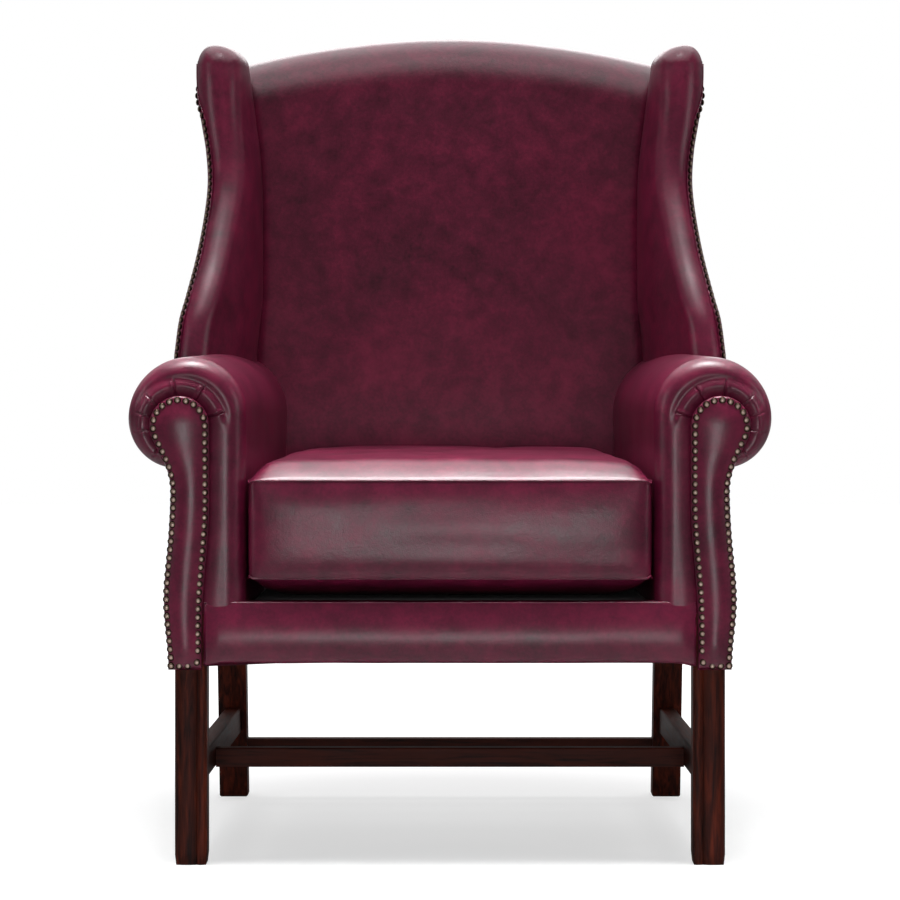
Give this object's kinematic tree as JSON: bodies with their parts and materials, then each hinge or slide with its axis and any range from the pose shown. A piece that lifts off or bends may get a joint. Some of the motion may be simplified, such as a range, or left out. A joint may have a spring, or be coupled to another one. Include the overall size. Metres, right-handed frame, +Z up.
{
  "type": "wing-back armchair",
  "caption": "Leather wing-back armchair with scroll arms, nailed facings, a loose box seat cushion, square moulded front legs, raked rear legs and an H stretcher.",
  "frame": {"origin": "on the floor under the middle of the chair", "axes": "+Z up, the chair faces -Y, +X is to the right of someone who stands in front of it"},
  "size_m": [0.798, 0.787, 1.084],
  "materials": {
    "polished_wood": "dark red-brown polished mahogany, semi-gloss",
    "frame_timber": "plain sawn beech, hidden under the leather",
    "leather": "antique burgundy leather with cloudy darker rub and a soft sheen",
    "nail_brass": "aged brass domed heads with dark rims",
    "padding": "foam and fibre padding, hidden",
    "spring_steel": "bright steel wire",
    "cloth": "black woven cloth",
    "zip_brass": "plain brass"
  },
  "bodies": {
    "chair_frame": {"arm_cover_left": "leather", "arm_cover_right": "leather", "arm_facing_left": "leather", "arm_facing_right": "leather", "arm_nails_left": "nail_brass", "arm_nails_right": "nail_brass", "arm_pad_left": "padding", "arm_pad_right": "padding", "arm_post_left": "frame_timber", "arm_post_right": "frame_timber", "arm_rail_left": "frame_timber", "arm_rail_right": "frame_timber", "back_lower_rail": "frame_timber", "back_nails": "nail_brass", "back_pad": "padding", "back_webbing": "cloth", "corner_block_screws": "spring_steel", "corner_blocks": "frame_timber", "crest_rail": "frame_timber", "cross_stretcher": "polished_wood", "dust_cover": "cloth", "front_leg_left": "polished_wood", "front_leg_right": "polished_wood", "front_rail_cover": "leather", "front_rail_pad": "padding", "front_seat_rail": "frame_timber", "inside_back_cover": "leather", "inside_wing_cover_left": "leather", "inside_wing_cover_right": "leather", "outside_arm_cover_left": "leather", "outside_arm_cover_right": "leather", "outside_back_cover": "leather", "outside_wing_cover_left": "leather", "outside_wing_cover_right": "leather", "platform_cover": "cloth", "rail_dowels": "frame_timber", "rear_leg_left": "polished_wood", "rear_leg_right": "polished_wood", "rear_seat_rail": "frame_timber", "rear_stretcher": "polished_wood", "seat_deck_pad": "padding", "seat_springs": "spring_steel", "side_seat_rail_left": "frame_timber", "side_seat_rail_right": "frame_timber", "side_stretcher_left": "polished_wood", "side_stretcher_right": "polished_wood", "spring_clips": "spring_steel", "wing_frame_left": "frame_timber", "wing_frame_right": "frame_timber", "wing_nails_left": "nail_brass", "wing_nails_right": "nail_brass", "wing_pad_left": "padding", "wing_pad_right": "padding"},
    "seat_cushion": {"cushion_cover": "leather", "cushion_core": "padding", "cushion_zip": "cloth"},
    "zip_slider": {"zip_slider": "zip_brass"}
  },
  "joints": [
    {"name": "cushion_lift", "type": "slide", "parent": "chair_frame", "child": "seat_cushion", "axis": [0, 0, 1], "range_m": [0, 0.76]},
    {"name": "zip_travel", "type": "slide", "parent": "seat_cushion", "child": "zip_slider", "axis": [1, 0, 0], "range_m": [-0.36, 0]}
  ]
}
